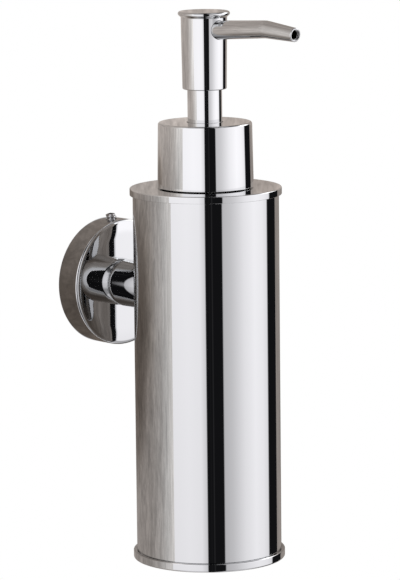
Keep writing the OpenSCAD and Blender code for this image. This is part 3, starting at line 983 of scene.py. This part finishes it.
@dataclass
class Bracket:
    """Rosette on the wall, the arm and the grub screw, in metres."""

    SOCKET_SIDES = 6

    front: float = 2.0 * MM
    wall: float = 2.6 * MM
    rim_turns: Rows = ((45.0, 0.6), (66.0, 1.1), (85.0, 3.0), (90.0, 52.0))
    back_ease: float = 0.3 * MM
    edge: float = 0.12 * MM
    rosette_sides: int = 256
    bolt_hole_r: float = 3.2 * MM
    arm_turns: Rows = ((40.0, 0.4), (70.0, 1.2), (90.0, 6.0))
    seat_gap: float = 0.05 * MM
    tap_reach_share: float = 1.2
    screw_r: float = 2.0 * MM
    screw_tip_r: float = 0.6 * MM
    screw_lean: float = math.radians(4.0)
    screw_play: float = 0.08 * MM
    screw_proud: float = 2.0 * MM
    screw_inset: float = 0.6 * MM
    screw_chamfer: float = 0.35 * MM
    screw_sides: int = 64
    socket_flats: float = 2.0 * MM
    socket_depth: float = 1.8 * MM
    socket_past: float = 1.0 * MM
    thread_pitch: float = 1.2 * MM
    thread_depth: float = 0.5 * MM
    thread_sides: int = 4
    thread_steps: int = 48
    thread_run_out: float = 0.1

    def __post_init__(self) -> None:
        """Reads the places of the bracket's nodes and works out where the screw stands."""
        low, high = (Vector(corner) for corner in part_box("rosette"))
        self.r = (high.x - low.x) / 2
        self.depth = high.y - low.y
        arm_low, arm_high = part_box("arm")
        self.arm_r = (arm_high.x - arm_low.x) / 2
        self.tube = Span.of("body_tube")
        self.wall_turn = Matrix.Rotation(QUARTER, 4, "X")
        lean = Matrix.Rotation(self.screw_lean, 4, "Z")
        upright = Matrix.Rotation(-QUARTER, 4, "X")
        middle = Matrix.Translation((0.0, 0.0, self.depth / 2))
        self.screw_place = self.wall_turn @ middle @ lean @ upright
        self.screw_top = self.r + self.screw_proud
        self.screw_foot = self.r - self.wall - self.screw_inset
        self.thread_foot = self.screw_foot + self.screw_r - self.screw_tip_r

    def build(self) -> None:
        """Makes the bracket's pieces."""
        self._rosette()
        self._arm()
        self._screw()
        self._screw_thread()

    def _rosette(self) -> None:
        """Makes the rosette, drilled for the arm's bolt and tapped for the grub screw."""
        inner = self.depth - self.front
        corners = [
            (self.r - self.wall, 0.0, self.edge),
            (self.r, 0.0, self.back_ease),
            *soft_edge((self.r, self.depth), (0, 1), (-1, 0), self.rim_turns),
            (self.bolt_hole_r, self.depth),
            (self.bolt_hole_r, inner),
            (self.r - self.wall, inner, self.edge),
        ]
        tap_r = self.screw_r + self.screw_play
        tapped = drill(Spine(self.screw_place), tap_r, self.r / 2, self.r * self.tap_reach_share)
        piece = Piece("rosette_cup", Slot.CHROME, Body.HOLDER, "rosette")
        piece.turned(Outline(corners), Spine(self.wall_turn), self.rosette_sides).cut(tapped).finished()

    def _arm(self) -> None:
        """Makes the arm, with an eased edge at the rosette and a saddle seat on the tube."""
        axis = -self.tube.axis.y
        end = axis - self.tube.r
        corners = [
            (self.bolt_hole_r, self.depth),
            *soft_edge((self.arm_r, self.depth), (1, 0), (0, 1), self.arm_turns),
            (self.arm_r, end),
            (self.bolt_hole_r, end),
        ]
        spine = SaddleSpine(self.wall_turn, end - self.edge, axis, self.tube.r + self.seat_gap)
        Piece("bracket_arm", Slot.CHROME, Body.HOLDER, "arm").turned(Outline(corners), spine).finished()

    def _screw(self) -> None:
        """Makes the grub screw's core with its point and its hex socket."""
        core_r = self.screw_r - self.thread_depth
        corners = [
            (0.0, self.screw_foot),
            (self.screw_tip_r, self.screw_foot),
            (core_r, self.thread_foot),
            (core_r, self.screw_top, self.screw_chamfer),
            (0.0, self.screw_top),
        ]
        spine = Spine(self.screw_place)
        corner_r = self.socket_flats / 2 / math.cos(math.pi / self.SOCKET_SIDES)
        floor = self.screw_top - self.socket_depth
        socket = drill(spine, corner_r, floor, self.screw_top + self.socket_past, self.SOCKET_SIDES)
        piece = Piece("grub_screw_core", Slot.STEEL, Body.GRUB, "grub_screw")
        piece.turned(Outline(corners, closed=False), spine, self.screw_sides).cut(socket).finished()

    def _screw_thread(self) -> None:
        """Winds the grub screw's thread round its core."""
        height = self.screw_top - self.screw_chamfer - self.thread_foot
        turns = height / self.thread_pitch
        shape = (self.thread_sides, self.thread_steps, self.thread_run_out)
        coil = Coil(self.screw_r - self.thread_depth, height, turns, self.thread_depth, *shape)
        place = self.screw_place @ Matrix.Translation((0, 0, self.thread_foot))
        Piece("grub_screw_thread", Slot.STEEL, Body.GRUB).wound(coil, place).finished()


@dataclass
class Pump:
    """Collar, sleeve, push head, spout and spring, in metres."""

    PRESS = "pump_press"

    collar_taper: float = 0.4 * MM
    collar_ease: float = 0.8 * MM
    collar_hole_ease: float = 0.2 * MM
    shell: float = 1.0 * MM
    push_fit: float = 0.05 * MM
    free_gap: float = 0.3 * MM
    edge: float = 0.12 * MM
    sleeve_wall: float = 0.9 * MM
    sleeve_sides: int = 128
    head_foot_r: float = 7.85 * MM
    head_waist_r: float = 8.2 * MM
    head_wall: float = 1.4 * MM
    head_roof: float = 3.0 * MM
    head_ease: float = 0.4 * MM
    head_bead: float = 0.8 * MM
    flare: float = 0.4 * MM
    flare_lean: float = math.radians(50.0)
    spout_root_h: float = 20.7 * MM
    spout_rise: float = math.radians(3.9)
    spout_fall: float = math.radians(4.4)
    spout_bend_reach: float = 31.8 * MM
    spout_bend_r: float = 7.5 * MM
    spout_root_r: float = 3.4 * MM
    spout_bend_tube_r: float = 3.1 * MM
    spout_tip_r: float = 2.45 * MM
    spout_bore_r: float = 1.7 * MM
    spout_blend: float = 60.0 * MM
    spout_lip: float = 0.38 * MM
    spout_inset: float = 3.4 * MM
    spout_pitch: float = 0.35 * MM
    spout_sides: int = 96
    mouth_r: float = 1.95 * MM
    mouth_step: float = 0.45 * MM
    mouth_edge: float = 0.08 * MM
    spring_wire: float = 0.4 * MM
    spring_turns: float = 7.0
    spring_sides: int = 12
    spring_steps: int = 48

    def __post_init__(self) -> None:
        """Reads the places of the pump's nodes and works out where the spout bends and ends."""
        self.collar = Span.of("collar_shell")
        self.nut = Span.of("closure_nut")
        self.sleeve = Span.of("stem_sleeve")
        self.head = Span.of("pump_head")
        self.spring = Span.of("return_spring")
        spout_end = -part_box("spout")[0][1] + self.head.axis.y
        self.bend = self.spout_bend_reach / math.cos(self.spout_rise)
        self.tip = self.bend + (spout_end - self.spout_bend_reach) / math.cos(self.spout_fall)

    def build(self) -> None:
        """Makes the pump's pieces."""
        self._collar()
        self._sleeve()
        self._head()
        self._spout()
        self._spring()

    def _collar(self) -> None:
        """Makes the collar's shell, pressed over the closure nut."""
        collar = self.collar
        bore_r = self.nut.r + self.push_fit
        hole_r = self.sleeve.r + self.free_gap
        under = collar.high - self.shell
        corners = [
            (bore_r, collar.low, self.edge),
            (collar.r, collar.low, self.edge),
            (collar.r - self.collar_taper, collar.high, self.collar_ease),
            (hole_r, collar.high, self.collar_hole_ease),
            (hole_r, under, self.edge),
            (bore_r, under),
        ]
        piece = Piece("collar", Slot.CHROME, Body.CLOSURE, "collar_shell")
        piece.turned(Outline(corners), collar.spine()).finished()

    def _sleeve(self) -> None:
        """Makes the sleeve round the stem."""
        sleeve = self.sleeve
        corners = ring_corners(sleeve.r - self.sleeve_wall, sleeve.r, sleeve.low, sleeve.high, self.edge)
        piece = Piece("sleeve", Slot.CHROME, Body.ACTUATOR, "stem_sleeve")
        piece.turned(Outline(corners), sleeve.spine(), self.sleeve_sides).finished()

    def _spout_spine(self) -> BentSpine:
        """Axis of the spout, from the head's axis outward.

        Returns:
            The bent axis.
        """
        root = self.head.point(self.head.low + self.spout_root_h)
        matrix = Matrix.Translation(root) @ Matrix.Rotation(QUARTER - self.spout_rise, 4, "X")
        return BentSpine(matrix, self.bend, self.spout_rise + self.spout_fall, self.spout_bend_r)

    def _head(self) -> None:
        """Makes the push head with its flared top and the hole for the spout."""
        head = self.head
        bore_r = self.head_foot_r - self.head_wall
        roof = head.high - self.head_roof
        corner_r = head.r - self.head_bead + self.head_bead * math.tan((QUARTER + self.flare_lean) / 2)
        waist = head.high - (corner_r - self.head_waist_r) / math.tan(self.flare_lean)
        corners = [
            (0.0, roof),
            (bore_r, roof),
            (bore_r, head.low, self.edge),
            (self.head_foot_r, head.low, self.head_ease),
            (self.head_waist_r, waist, self.flare),
            (corner_r, head.high, self.head_bead),
            (0.0, head.high),
        ]
        hole = drill(self._spout_spine(), self.spout_root_r + self.push_fit, 0.0, 2 * head.r)
        piece = Piece("push_head", Slot.CHROME, Body.ACTUATOR, "pump_head")
        piece.turned(Outline(corners, closed=False), head.spine()).cut(hole).finished()

    def _spout(self) -> None:
        """Makes the spout, tapered, bent near its end, and bored with a stepped mouth."""
        tip = self.tip
        first_step = tip - self.mouth_step
        second_step = tip - 2 * self.mouth_step
        middle_r = (self.mouth_r + self.spout_bore_r) / 2
        corners = [
            (self.spout_bore_r, self.spout_inset),
            (self.spout_root_r, self.spout_inset, self.edge),
            (self.spout_bend_tube_r, self.bend, self.spout_blend),
            (self.spout_tip_r, tip, self.spout_lip),
            (self.mouth_r, tip, self.mouth_edge),
            (self.mouth_r, first_step),
            (middle_r, first_step, self.mouth_edge),
            (middle_r, second_step),
            (self.spout_bore_r, second_step, self.mouth_edge),
        ]
        outline = Outline(corners, pitch=self.spout_pitch)
        piece = Piece("spout_tube", Slot.CHROME, Body.ACTUATOR, "spout")
        piece.turned(outline, self._spout_spine(), self.spout_sides).finished()

    def _spring(self) -> None:
        """Winds the return spring at its rest length, on a mesh of its own."""
        spring, wire = self.spring, self.spring_wire
        height = spring.high - spring.low
        shape = (self.spring_turns, wire, self.spring_sides, self.spring_steps)
        coil = Coil(spring.r - wire, height - 2 * wire, *shape)
        piece = Piece("spring_wire", Slot.STEEL, Body.PUMP_UNIT, "return_spring")
        piece.wound(coil, Matrix.Translation(spring.point(spring.low + wire)))
        seat = spring.point(spring.low)
        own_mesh(piece.finished())


def dress_cad_nodes() -> None:
    """Gives every CAD node that is still shown the finish of its slot."""
    slots = {row["node"]: row["material_slot"] for row in frame["record"]["subparts"]}
    for node, item in frame["nodes"].items():
        if item.hide_render:
            continue
        finish = FINISHES[Slot(slots[node])]
        item.data.materials.clear()
        item.data.materials.append(finish.material())
        LOG.info("%s: dressed as %s", node, finish.name)


class Tint(Enum):
    """Hues of the stage's light.

    Each is the share of green and of blue in the dark, what both gain in the light, and the level at
    which the gain is full.
    """

    GREY = (1.0, 1.0, 0.0, 0.0, 1.0)
    COOL = (0.985, 1.01, 0.0, 0.0, 1.0)
    WARM = (0.80, 0.68, 0.16, 0.25, 0.55)
    DUSK = (0.88, 0.76, 0.12, 0.24, 1.0)

    def colour(self, level: float) -> tuple[float, ...]:
        """Gives a level of light its hue.

        Args:
            level: the level, which is that of red.

        Returns:
            Red, green, blue and full alpha.
        """
        green, blue, more_green, more_blue, full = self.value
        gain = min(1.0, level / full)
        return level, level * (green + more_green * gain), level * (blue + more_blue * gain), 1.0


@dataclass(frozen=True)
class Blend:
    """Light along a line: places and their levels, in order, and the hue."""

    UNPLACED = 0.5

    rows: Rows
    tint: Tint = Tint.GREY

    def socket(self, nodes: NodeTree, place: NodeSocket) -> NodeSocket:
        """Adds the blend as a colour ramp.

        Args:
            nodes: the material's tree.
            place: place along the line, in the units of the rows.

        Returns:
            The ramp's colour.
        """
        first, last = self.rows[0][0], self.rows[-1][0]
        share = nodes.math("DIVIDE", nodes.math("SUBTRACT", place, first), last - first)
        node = nodes.add("ShaderNodeValToRGB", {"Fac": share})
        stops = node.color_ramp.elements
        while len(stops) < len(self.rows):
            stops.new(self.UNPLACED)
        for stop, (at, level) in zip(stops, self.rows):
            stop.position = (at - first) / (last - first)
            stop.color = self.tint.colour(level)
        return node.outputs["Color"]


@dataclass(frozen=True)
class Shade:
    """Soft oval shade on the wall: its middle, its spread, and the light left from there outwards."""

    middle: Pair
    spread: Pair
    rows: Rows

    def socket(self, nodes: NodeTree, places: Sequence[NodeSocket]) -> NodeSocket:
        """Adds the shade.

        Args:
            nodes: the material's tree.
            places: places across and up the wall.

        Returns:
            The share of the light that is left, warmer where it is darker.
        """
        sides = [
            nodes.math("DIVIDE", nodes.math("SUBTRACT", place, middle), spread)
            for place, middle, spread in zip(places, self.middle, self.spread)
        ]
        return Blend(self.rows, Tint.DUSK).socket(nodes, nodes.length(*sides))


@dataclass(frozen=True)
class Mottle:
    """Uneven light on the wall.

    Attributes:
        waves: waves of its noise per metre along the wall.
        rise: waves per metre up the wall.
        detail: octaves of the noise.
        warp: how far the noise bends itself.
        least: share of the light where the noise is lowest.
        most: share of the light where it is highest.
    """

    waves: float
    rise: float
    detail: float
    warp: float
    least: float
    most: float

    def socket(self, nodes: NodeTree) -> NodeSocket:
        """Share of the light that the noise leaves."""
        noise = nodes.noise((self.waves, self.waves, self.rise), self.detail, self.warp)
        return nodes.spread(noise, self.least, self.most)


class GlowCard:
    """Base of the glowing stage materials that the chrome mirrors."""

    NAME = "glow_card"
    STRENGTH = 1.142

    def material(self) -> Material:
        """Builds the glowing material.

        Returns:
            The material.
        """
        made, nodes = new_material(self.NAME)
        feeds = {"Strength": self.STRENGTH, "Color": self.colour(nodes)}
        glow = nodes.add("ShaderNodeEmission", feeds).outputs[0]
        nodes.add("ShaderNodeOutputMaterial", {"Surface": self.surface(nodes, glow)})
        return made

    def colour(self, nodes: NodeTree) -> NodeSocket:
        """Colour of the glow over the card."""
        raise NotImplementedError

    def surface(self, nodes: NodeTree, glow: NodeSocket) -> NodeSocket:
        """Surface of the card, the glow itself where nothing is cut out of it."""
        return glow


class WallCard(GlowCard):
    """Warm mottled wall behind the dispenser, seen in the chrome alone.

    Places are in millimetres from the middle of the rosette. Its glow is painted light and shade: light
    that falls off across the wall and is brighter above, and soft painted shadows of the rosette and, above
    and below it, of the vessel.
    """

    NAME = "wall_card"
    # Painted light across the wall: dimmest behind and right of the dispenser, where its shade falls,
    # brightest far to the left.
    PAINTED_LIGHT_ACROSS = Blend(
        (
            (-400.0, 0.86), (-240.0, 0.72), (-162.0, 0.58), (-120.0, 0.48), (-72.0, 0.38), (-45.0, 0.33),
            (-10.0, 0.33), (30.0, 0.335), (60.0, 0.29), (80.0, 0.26), (130.0, 0.27), (200.0, 0.32),
            (600.0, 0.32),
        ),
        Tint.WARM,
    )
    # Painted light up the wall: brighter above the rosette, as if lit from above.
    PAINTED_LIGHT_UPWARD = Blend(
        (
            (-105.0, 1.0), (-75.0, 0.88), (-15.0, 0.95), (25.0, 1.0), (45.0, 1.4), (62.0, 1.62),
            (70.0, 1.42), (82.0, 1.5), (130.0, 1.42), (300.0, 1.0),
        ),
    )
    # Painted soft shadows of the rosette, and of the vessel above and below it.
    PAINTED_SHADES = (
        Shade(
            (-22.0, -12.0), (1.6, 1.3), ((0.0, 0.31), (9.0, 0.34), (21.0, 0.56), (31.0, 0.78), (45.0, 1.0)),
        ),
        Shade((-8.0, 37.0), (1.3, 0.8), ((0.0, 0.55), (8.0, 0.65), (16.0, 0.95), (20.0, 1.0))),
        Shade((4.0, -50.0), (1.3, 0.8), ((0.0, 0.62), (20.0, 0.67), (32.0, 0.87), (42.0, 1.0))),
    )
    MOTTLES = (
        Mottle(waves=38.0, rise=38.0, detail=2.0, warp=0.5, least=0.6, most=1.4),
        Mottle(waves=140.0, rise=95.0, detail=6.0, warp=1.2, least=0.5, most=1.5),
        Mottle(waves=420.0, rise=420.0, detail=4.0, warp=1.0, least=0.7, most=1.3),
    )

    def __init__(self, hole_r: float) -> None:
        """Keeps the radius of the place that the rosette covers, in metres."""
        self.hole_r = hole_r

    def colour(self, nodes: NodeTree) -> NodeSocket:
        """Wires the wall with its shades and its mottling.

        Args:
            nodes: the material's tree.

        Returns:
            The colour of the glow.
        """
        places = self._places(nodes)
        layers = [blend.socket(nodes, place) for blend, place in zip((self.PAINTED_LIGHT_ACROSS, self.PAINTED_LIGHT_UPWARD), places)]
        layers += [shade.socket(nodes, places) for shade in self.PAINTED_SHADES]
        layers += [mottle.socket(nodes) for mottle in self.MOTTLES]
        return nodes.product(*layers)

    def surface(self, nodes: NodeTree, glow: NodeSocket) -> NodeSocket:
        """Leaves out the place that the rosette covers.

        Args:
            nodes: the material's tree.
            glow: the glow of the wall.

        Returns:
            The surface with its hole.
        """
        away = nodes.length(*self._places(nodes))
        outside = nodes.math("GREATER_THAN", away, self.hole_r / MM)
        clear = nodes.add("ShaderNodeBsdfTransparent").outputs[0]
        return nodes.add("ShaderNodeMixShader", {"Fac": outside, 1: clear, 2: glow}).outputs[0]

    def _places(self, nodes: NodeTree) -> list[NodeSocket]:
        """Works out where on the wall a point lies.

        Args:
            nodes: the material's tree.

        Returns:
            Places across and up the wall, in millimetres.
        """
        place = nodes.add("ShaderNodeTexCoord").outputs["Object"]
        axes = nodes.add("ShaderNodeSeparateXYZ", {"Vector": place}).outputs
        return [nodes.math("DIVIDE", axes[axis], MM) for axis in ("X", "Z")]


class StudioCards(GlowCard):
    """White cards, a window and black flags on the reflection dome.

    Each is a blend by height, in metres, and one by bearing, in degrees from the camera to the image's
    right. The front flag has no end in height. The blends of the flags give the share that they cover.
    """

    NAME = "studio_cards"
    BLACK = (0.008, 0.008, 0.009, 1.0)
    CARDS = (
        Blend(
            (
                (-0.95, 1.0), (-0.79, 1.0), (-0.73, 0.52), (-0.5, 0.5), (-0.34, 1.07), (-0.10, 1.17),
                (-0.05, 1.3), (0.3, 1.31), (0.6, 1.15), (0.68, 0.3), (0.76, 0.12), (0.85, 0.12),
                (0.88, 0.7), (0.955, 0.7), (0.98, 0.08),
            ),
            Tint.COOL,
        ),
        Blend(
            (
                (-180.0, 0.4), (-90.0, 0.9), (-52.0, 0.97), (-30.0, 1.0), (-11.0, 0.97), (-2.0, 0.72),
                (24.0, 0.55), (38.0, 0.65), (60.0, 0.92), (80.0, 1.05), (97.0, 1.0), (110.0, 0.85),
                (150.0, 0.5), (180.0, 0.4),
            ),
        ),
    )
    WINDOW = (
        Blend(((-0.9, 0.0), (0.28, 0.0), (0.36, 1.8), (0.62, 1.8), (0.7, 0.0), (0.9, 0.0))),
        Blend(((-180.0, 0.0), (98.0, 0.0), (108.0, 1.0), (150.0, 1.0), (160.0, 0.0), (180.0, 0.0))),
    )
    SIDE_FLAG = (
        Blend(((-0.9, 1.0), (0.24, 1.0), (0.3, 0.0), (0.9, 0.0))),
        Blend(((-180.0, 0.0), (108.8, 0.0), (110.8, 1.0), (138.0, 1.0), (141.0, 0.0), (180.0, 0.0))),
    )
    FRONT_FLAG = Blend(
        (
            (-180.0, 0.0), (-2.4, 0.0), (-1.4, 1.0), (2.8, 1.0), (3.6, 0.982), (4.4, 1.0), (7.6, 1.0),
            (8.4, 0.975), (9.2, 1.0), (24.0, 1.0), (25.4, 0.0), (180.0, 0.0),
        ),
    )

    def __init__(self, look_azimuth: float) -> None:
        """Keeps the bearing that the cards are set out from."""
        self.look_azimuth = look_azimuth

    def colour(self, nodes: NodeTree) -> NodeSocket:
        """Wires the cards, the window and the flags.

        Args:
            nodes: the material's tree.

        Returns:
            The colour of the glow.
        """
        place = nodes.add("ShaderNodeTexCoord").outputs["Object"]
        feeds = {"Vector": place, "Angle": QUARTER - self.look_azimuth}
        turned = nodes.add("ShaderNodeVectorRotate", feeds, rotation_type="Z_AXIS").outputs["Vector"]
        axes = nodes.add("ShaderNodeSeparateXYZ", {"Vector": turned}).outputs
        bearing = nodes.math("DEGREES", nodes.math("ARCTAN2", axes["Y"], axes["X"]))
        lit, bright, side = (
            nodes.product(upward.socket(nodes, axes["Z"]), around.socket(nodes, bearing))
            for upward, around in (self.CARDS, self.WINDOW, self.SIDE_FLAG)
        )
        flagged = nodes.math("MAXIMUM", self.FRONT_FLAG.socket(nodes, bearing), side)
        return nodes.mix("MIX", flagged, nodes.mix("ADD", 1.0, lit, bright), self.BLACK)


@dataclass
class Studio:
    """Camera, white surroundings and the cards that the chrome mirrors, in metres."""

    WHITE = (1.0, 1.0, 1.0, 1.0)

    camera_at: Triple = (-0.87548, -1.00871, 0.21036)
    look_azimuth: float = math.radians(-42.433)
    look_down: float = math.radians(9.143)
    roll: float = math.radians(-0.617)
    lens: float = 228.3
    camera_reach: float = 50.0
    room_light: float = 0.7
    floor_z: float = -3.0
    floor_half: float = 6.0
    floor_grey: float = 0.8
    dome_r: float = 1.0
    dome_reach: float = math.radians(88.0)
    dome_steps: int = 24
    dome_sides: int = 96
    wall_left: float = -0.40
    wall_right: float = 0.70
    wall_half: float = 0.45
    wall_gap: float = 0.5 * MM
    lamp_at: Triple = (-1.0, -0.9, 1.2)
    lamp_size: float = 1.0
    lamp_watts: float = 12.0

    def __post_init__(self) -> None:
        """Reads the vessel's axis, which the dome stands round."""
        self.axis = Span.of("body_tube").axis

    def build(self) -> None:
        """Sets up the studio."""
        bpy.context.scene.view_settings.view_transform = "Standard"
        self._camera()
        self._world()
        self._floor()
        self._dome()
        self._wall()
        self._key_light()

    def _camera(self) -> None:
        """Stands the camera where the photograph was taken from."""
        az, down = self.look_azimuth, self.look_down
        back = Vector((math.sin(az) * math.cos(down), -math.cos(az) * math.cos(down), math.sin(down)))
        level = Vector((math.cos(az), math.sin(az), 0.0))
        right = level * math.cos(self.roll) + back.cross(level) * math.sin(self.roll)
        turn = Matrix((right, back.cross(right), back)).transposed().to_4x4()
        camera = linked("camera", bpy.data.cameras.new("camera"))
        camera.data.lens = self.lens
        camera.data.clip_end = self.camera_reach
        camera.matrix_world = Matrix.Translation(self.camera_at) @ turn
        bpy.context.scene.camera = camera

    def _seen(self, nodes: NodeTree) -> NodeSocket:
        """Tells what is looked at from what lights the dispenser.

        Args:
            nodes: the tree of the world or a material.

        Returns:
            One for rays of the camera, of gloss and of glass, and zero for the rest.
        """
        path = nodes.add("ShaderNodeLightPath").outputs
        gloss = nodes.math("MAXIMUM", path["Is Glossy Ray"], path["Is Transmission Ray"])
        return nodes.math("MAXIMUM", path["Is Camera Ray"], gloss)

    def _world(self) -> None:
        """Makes the surroundings white, with softer light on the dispenser."""
        world = bpy.data.worlds.new("studio")
        world.use_nodes = True
        nodes = NodeTree(world.node_tree)
        strength = nodes.spread(self._seen(nodes), self.room_light, 1.0)
        background = nodes.add("ShaderNodeBackground", {"Color": self.WHITE, "Strength": strength})
        nodes.add("ShaderNodeOutputWorld", {"Surface": background.outputs[0]})
        bpy.context.scene.world = world

    def _stage(self, name: str, mesh: Mesh, material: Material, mirrored_only: bool = False) -> Object:
        """Adds a stage object that isn't part of the dispenser.

        Args:
            name: name of the object.
            mesh: its mesh.
            material: its material.
            mirrored_only: whether it is seen in reflections alone.

        Returns:
            The object.
        """
        mesh.materials.append(material)
        item = linked(name, mesh)
        for rays in ("visible_camera", "visible_diffuse", "visible_shadow"):
            setattr(item, rays, not mirrored_only)
        return item

    def _floor(self) -> None:
        """Lays a pale floor well below the dispenser, white to the camera."""
        half, z = self.floor_half, self.floor_z
        mesh = sheet("floor", [(-half, -half, z), (half, -half, z), (half, half, z), (-half, half, z)])
        material, nodes = new_material("pale_floor")
        grey = (self.floor_grey, self.floor_grey, self.floor_grey, 1.0)
        matte = nodes.add("ShaderNodeBsdfDiffuse", {"Color": grey}).outputs[0]
        white = nodes.add("ShaderNodeEmission").outputs[0]
        mixed = nodes.add("ShaderNodeMixShader", {"Fac": self._seen(nodes), 1: matte, 2: white})
        nodes.add("ShaderNodeOutputMaterial", {"Surface": mixed.outputs[0]})
        self._stage("floor", mesh, material)

    def _dome(self) -> None:
        """Hangs the cards and flags that the chrome mirrors, as one dome."""
        reach, steps, r = self.dome_reach, self.dome_steps, self.dome_r
        arc = [-reach + 2 * reach * k / steps for k in range(steps + 1)]
        corners = [(0.0, -r), *[(r * math.cos(a), r * math.sin(a)) for a in arc], (0.0, r)]
        outline = Outline(corners, closed=False)
        mesh = Lathe(outline, Spine(Matrix.Identity(4)), self.dome_sides).mesh("reflection_dome")
        mesh.attributes.remove(mesh.attributes[NORMALS])
        material = StudioCards(self.look_azimuth).material()
        self._stage("reflection_dome", mesh, material, mirrored_only=True).location = self.axis

    def _wall(self) -> None:
        """Hangs the wall that the chrome mirrors behind the dispenser."""
        left, right, half, y = self.wall_left, self.wall_right, self.wall_half, self.wall_gap
        corners = [(left, y, -half), (right, y, -half), (right, y, half), (left, y, half)]
        mesh = sheet("reflection_wall", corners)
        low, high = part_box("rosette")
        material = WallCard((high.x - low.x) / 2 + self.wall_gap).material()
        self._stage("reflection_wall", mesh, material, mirrored_only=True)

    def _key_light(self) -> None:
        """Hangs one large soft lamp, for the plain pieces."""
        lamp = bpy.data.lights.new("key", "AREA")
        lamp.size = self.lamp_size
        lamp.energy = self.lamp_watts
        item = linked("key", lamp)
        item.location = self.lamp_at
        item.rotation_euler = (self.axis - item.location).to_track_quat("-Z", "Y").to_euler()
        item.visible_glossy = False


def main() -> None:
    """Builds the dispenser's looks and its studio."""
    logging.basicConfig(level=logging.INFO, format="%(name)s: %(message)s")
    for assembly in (Vessel(), Bracket(), Pump()):
        assembly.build()
    dress_cad_nodes()
    Studio().build()


if __name__ == "__main__":
    main()
